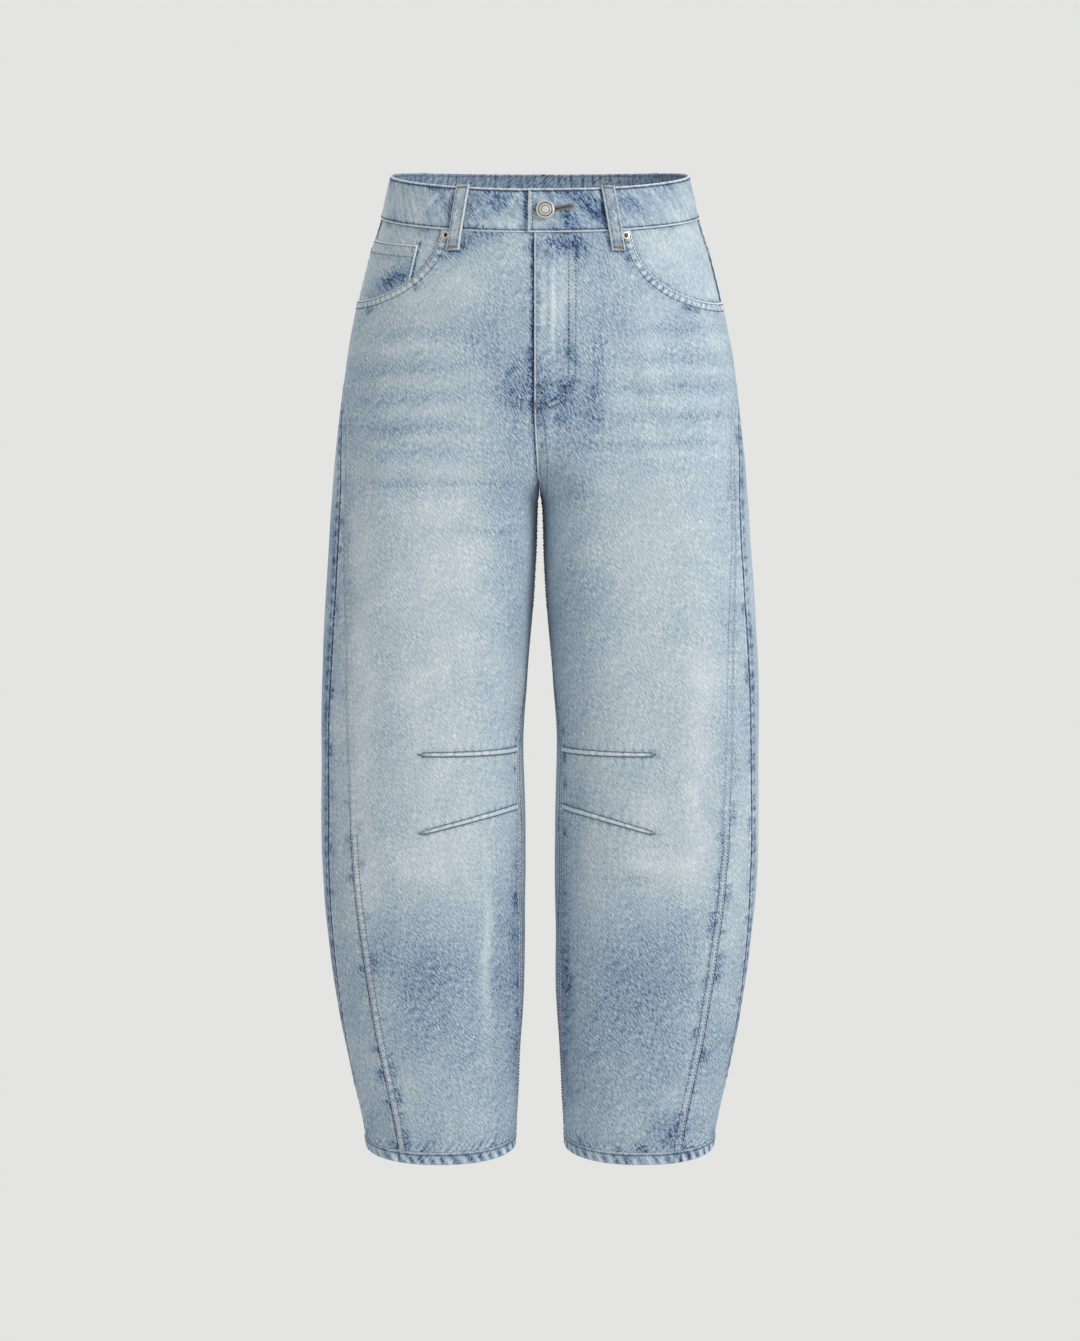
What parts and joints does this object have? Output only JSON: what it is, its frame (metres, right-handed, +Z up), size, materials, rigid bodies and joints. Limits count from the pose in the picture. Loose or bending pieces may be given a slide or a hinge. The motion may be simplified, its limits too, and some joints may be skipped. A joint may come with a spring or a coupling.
{
  "type": "barrel leg denim trousers",
  "caption": "High-waisted light-wash denim trousers with curved barrel legs, knee darts and curved side panels, held open as when worn.",
  "frame": {"origin": "middle of the waist, half-way up the waistband at the sides, where the wearer holds it up", "axes": "+Z up, front towards -Y, the wearer's left towards +X"},
  "size_m": [0.4292, 0.2309, 0.9682],
  "materials": {
    "denim": "light stone-washed twill denim, paler on thighs and knees",
    "waistband_denim": "light stone-washed twill denim, paler on thighs and knees",
    "facing_denim": "light stone-washed twill denim, paler on thighs and knees",
    "hem_denim": "light stone-washed twill denim, paler on thighs and knees",
    "loop_denim": "grey-blue washed denim, stitched along both edges",
    "button_metal": "pale worn metal with plain turned rings",
    "rivet_metal": "pale worn metal ring with a dark middle"
  },
  "bodies": {
    "root": {"waistband": "waistband_denim", "front_right": "denim", "side_right": "denim", "back_right": "denim", "yoke_right": "denim", "back_pocket_right": "denim", "hem_right": "hem_denim", "pocket_facing_right": "facing_denim", "belt_loop_front_right": "loop_denim", "belt_loop_back_right": "loop_denim", "knee_dart_upper_right": "denim", "knee_dart_lower_right": "denim", "rivet_right": "rivet_metal", "front_left": "denim", "side_left": "denim", "back_left": "denim", "yoke_left": "denim", "back_pocket_left": "denim", "hem_left": "hem_denim", "pocket_facing_left": "facing_denim", "belt_loop_front_left": "loop_denim", "belt_loop_back_left": "loop_denim", "knee_dart_upper_left": "denim", "knee_dart_lower_left": "denim", "rivet_left": "rivet_metal", "coin_pocket": "facing_denim", "belt_loop_back_centre": "loop_denim", "waist_button": "button_metal"}
  },
  "joints": []
}
